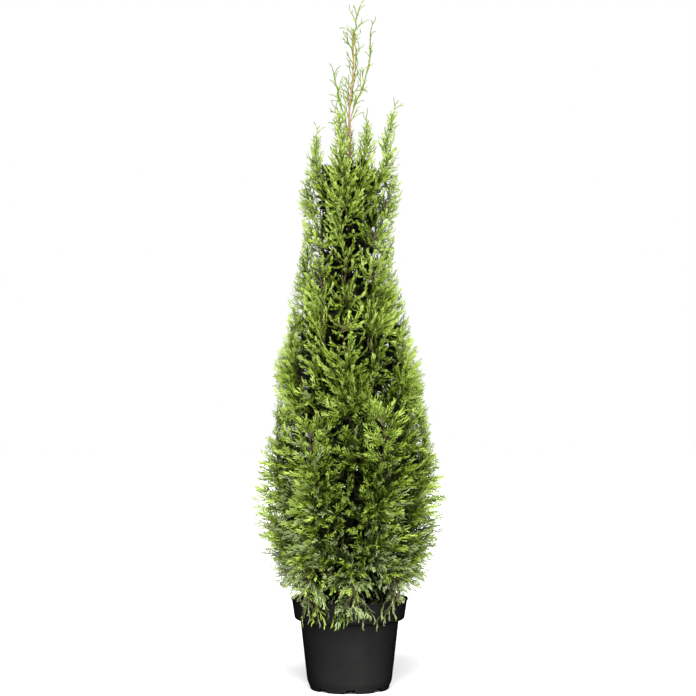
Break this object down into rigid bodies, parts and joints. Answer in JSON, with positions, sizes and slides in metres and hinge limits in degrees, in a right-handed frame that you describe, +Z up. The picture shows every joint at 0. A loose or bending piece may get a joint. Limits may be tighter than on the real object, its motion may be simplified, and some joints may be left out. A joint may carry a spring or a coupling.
{
  "type": "potted thuja",
  "caption": "Slender evergreen conifer with upright flat sprays on one stem, growing in a round stepped nursery pot.",
  "frame": {"origin": "centre of the pot's flat underside, on the level surface that the pot stands on", "axes": "+Z up along the stem, +X to the right and +Y to the back as seen from the front"},
  "size_m": [0.3603, 0.3478, 1.323],
  "materials": {
    "foliage": "satin scale leaves, lime at the tips and dark green inside",
    "bark": "matt, stringy reddish brown bark",
    "pot": "satin black moulded plastic",
    "soil": "damp crumbly compost"
  },
  "bodies": {
    "root": {"pot": "pot", "soil": "soil", "trunk": "bark", "lower_bough_1": "bark", "lower_bough_2": "bark", "lower_bough_3": "bark", "lower_bough_4": "bark", "lower_bough_5": "bark", "lower_bough_6": "bark", "lower_bough_7": "bark", "middle_bough_1": "bark", "middle_bough_2": "bark", "middle_bough_3": "bark", "middle_bough_4": "bark", "middle_bough_5": "bark", "middle_bough_6": "bark", "upper_bough_1": "bark", "upper_bough_2": "bark", "upper_bough_3": "bark", "upper_bough_4": "bark", "upper_bough_5": "bark", "skirt_mass_1": "foliage", "skirt_mass_2": "foliage", "skirt_mass_3": "foliage", "skirt_mass_4": "foliage", "skirt_mass_5": "foliage", "skirt_mass_6": "foliage", "skirt_mass_7": "foliage", "skirt_mass_8": "foliage", "belly_mass_1": "foliage", "belly_mass_2": "foliage", "belly_mass_3": "foliage", "belly_mass_4": "foliage", "belly_mass_5": "foliage", "belly_mass_6": "foliage", "belly_mass_7": "foliage", "waist_mass_1": "foliage", "waist_mass_2": "foliage", "waist_mass_3": "foliage", "waist_mass_4": "foliage", "waist_mass_5": "foliage", "waist_mass_6": "foliage", "chest_mass_1": "foliage", "chest_mass_2": "foliage", "chest_mass_3": "foliage", "chest_mass_4": "foliage", "chest_mass_5": "foliage", "neck_mass_1": "foliage", "neck_mass_2": "foliage", "neck_mass_3": "foliage", "neck_mass_4": "foliage", "shoulder_mass_1": "foliage", "shoulder_mass_2": "foliage", "shoulder_mass_3": "foliage", "shoulder_mass_4": "foliage", "shoulder_mass_5": "foliage", "leader_mass_1": "foliage", "leader_mass_2": "foliage", "leader_mass_3": "foliage", "leader_mass_4": "foliage"}
  },
  "joints": []
}
